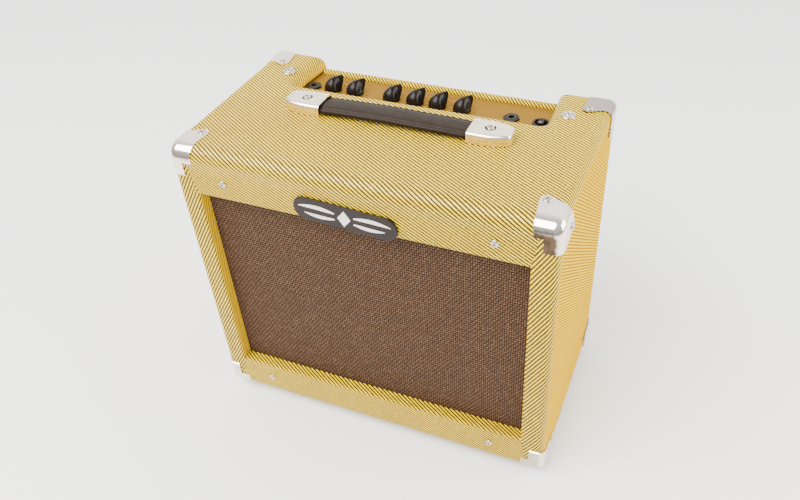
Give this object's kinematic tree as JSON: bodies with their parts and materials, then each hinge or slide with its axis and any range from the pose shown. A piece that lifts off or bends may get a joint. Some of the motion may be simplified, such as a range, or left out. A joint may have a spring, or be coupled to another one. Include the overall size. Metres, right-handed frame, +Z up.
{
  "type": "guitar amplifier",
  "caption": "Small open-back combo guitar amplifier: cloth-covered box, brown speaker grille, pointer knobs let into the top, strap handle, chrome corners.",
  "frame": {"origin": "bottom centre of the amplifier's overall box, standing on its feet", "axes": "+X along the front from the left side to the right side as seen from the front, +Y from the front to the back, +Z up"},
  "size_m": [0.383, 0.2208, 0.351],
  "materials": {
    "tweed_cloth": "lacquered yellow and brown diagonal tweed cloth glued over board",
    "grille_cloth": "brown basket weave grille cloth with dark dots",
    "painted_board": "black painted board",
    "rubber_foot": "matt black moulded rubber",
    "chrome_corner": "polished pressed metal",
    "chrome_cap": "polished pressed metal",
    "screw_steel": "nickel plated",
    "handle_strap": "dark brown moulded leather-look strap, satin",
    "name_plate": "dark plate with a pale raised ornament",
    "zinc_chassis": "zinc plated sheet",
    "control_panel": "matt gold panel with dark printed dial marks",
    "circuit_board": "green board with dark potentiometer cans",
    "jack_plastic": "black moulded",
    "jack_nut": "dark brown moulded",
    "switch_rocker": "dark red translucent lens with a white bar",
    "inlet_plastic": "black moulded",
    "transformer_iron": "varnished iron laminations",
    "knob_plastic": "very dark brown moulded, satin gloss",
    "speaker_steel": "black painted pressing",
    "gasket_card": "pressed card ring",
    "magnet_iron": "dark ferrite between plated plates",
    "cone_paper": "dark pressed paper with a cloth surround"
  },
  "bodies": {
    "cabinet": {"baffle_board": "painted_board", "bottom_board": "tweed_cloth", "chassis_screw_left": "screw_steel", "chassis_screw_right": "screw_steel", "chassis_tray": "zinc_chassis", "control_board": "circuit_board", "control_panel": "control_panel", "corner_front_bottom_left": "chrome_corner", "corner_front_bottom_right": "chrome_corner", "corner_front_top_left": "chrome_corner", "corner_front_top_right": "chrome_corner", "corner_rear_bottom_left": "chrome_corner", "corner_rear_bottom_right": "chrome_corner", "corner_rear_top_left": "chrome_corner", "corner_rear_top_right": "chrome_corner", "foot_front_left": "rubber_foot", "foot_front_right": "rubber_foot", "foot_rear_left": "rubber_foot", "foot_rear_right": "rubber_foot", "front_frame": "tweed_cloth", "front_screw_1": "screw_steel", "front_screw_2": "screw_steel", "front_screw_3": "screw_steel", "front_screw_4": "screw_steel", "grille_cloth": "grille_cloth", "handle_cap_left": "chrome_cap", "handle_cap_right": "chrome_cap", "handle_screw_left": "screw_steel", "handle_screw_right": "screw_steel", "handle_strap": "handle_strap", "inlet_plate": "zinc_chassis", "input_jack": "jack_plastic", "input_jack_nut": "jack_nut", "lower_back_panel": "tweed_cloth", "mains_inlet": "inlet_plastic", "name_plate": "name_plate", "output_jack": "jack_plastic", "output_jack_nut": "jack_nut", "power_switch_body": "jack_plastic", "power_transformer": "transformer_iron", "side_left": "tweed_cloth", "side_right": "tweed_cloth", "speaker_frame": "speaker_steel", "speaker_gasket": "gasket_card", "speaker_magnet": "magnet_iron", "speaker_rim": "speaker_steel", "top_board": "tweed_cloth", "upper_back_panel": "tweed_cloth"},
    "knob_1": {"knob_1": "knob_plastic"},
    "knob_2": {"knob_2": "knob_plastic"},
    "knob_3": {"knob_3": "knob_plastic"},
    "knob_4": {"knob_4": "knob_plastic"},
    "knob_5": {"knob_5": "knob_plastic"},
    "knob_6": {"knob_6": "knob_plastic"},
    "power_rocker": {"power_rocker": "switch_rocker"},
    "speaker_cone": {"speaker_cone": "cone_paper", "speaker_dust_cap": "cone_paper", "speaker_surround": "cone_paper"}
  },
  "joints": [
    {"name": "knob_1_turn", "type": "hinge", "parent": "cabinet", "child": "knob_1", "pos_m": [-0.1048, 0.0682, 0.3199], "axis": [0, 0, 1], "range_deg": [-98, 202]},
    {"name": "knob_2_turn", "type": "hinge", "parent": "cabinet", "child": "knob_2", "pos_m": [-0.0789, 0.0682, 0.3199], "axis": [0, 0, 1], "range_deg": [-98, 202]},
    {"name": "knob_3_turn", "type": "hinge", "parent": "cabinet", "child": "knob_3", "pos_m": [-0.0363, 0.0682, 0.3199], "axis": [0, 0, 1], "range_deg": [-98, 202]},
    {"name": "knob_4_turn", "type": "hinge", "parent": "cabinet", "child": "knob_4", "pos_m": [-0.0098, 0.0682, 0.3199], "axis": [0, 0, 1], "range_deg": [-98, 202]},
    {"name": "knob_5_turn", "type": "hinge", "parent": "cabinet", "child": "knob_5", "pos_m": [0.0152, 0.0682, 0.3199], "axis": [0, 0, 1], "range_deg": [-98, 202]},
    {"name": "knob_6_turn", "type": "hinge", "parent": "cabinet", "child": "knob_6", "pos_m": [0.042, 0.0682, 0.3199], "axis": [0, 0, 1], "range_deg": [-98, 202]},
    {"name": "power_switch", "type": "hinge", "parent": "cabinet", "child": "power_rocker", "pos_m": [0.1246, 0.0682, 0.3195], "axis": [1, 0, 0], "range_deg": [0, 14]},
    {"name": "cone_travel", "type": "slide", "parent": "cabinet", "child": "speaker_cone", "axis": [0, 1, 0], "range_m": [-0.003, 0.003], "stiffness_N_per_m": 1500}
  ]
}
